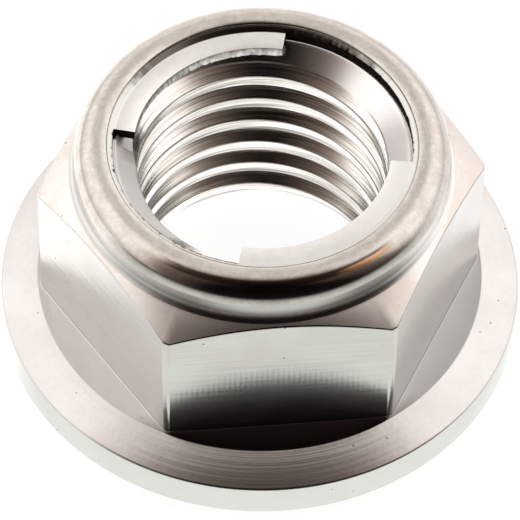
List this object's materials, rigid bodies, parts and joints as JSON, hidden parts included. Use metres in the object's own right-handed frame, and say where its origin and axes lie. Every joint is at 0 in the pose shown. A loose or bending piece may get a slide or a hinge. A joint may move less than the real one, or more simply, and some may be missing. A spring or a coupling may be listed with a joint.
{
  "type": "self-locking hexagon flange nut",
  "caption": "All-metal self-locking hexagon flange nut: a rolled collar traps a sprung friction ring whose tabs grip the bolt's thread.",
  "frame": {"origin": "centre of the bearing face, on the thread's axis", "axes": "+Z along the thread's axis, from the flange towards the collar; +X through a corner of the hexagon"},
  "size_m": [0.019, 0.019, 0.0093],
  "materials": {
    "body_metal": "bright turned and milled bare metal",
    "spring_steel": "bright rolled sheet with sheared edges"
  },
  "bodies": {
    "root": {"nut_body": "body_metal", "friction_ring": "spring_steel"}
  },
  "joints": []
}
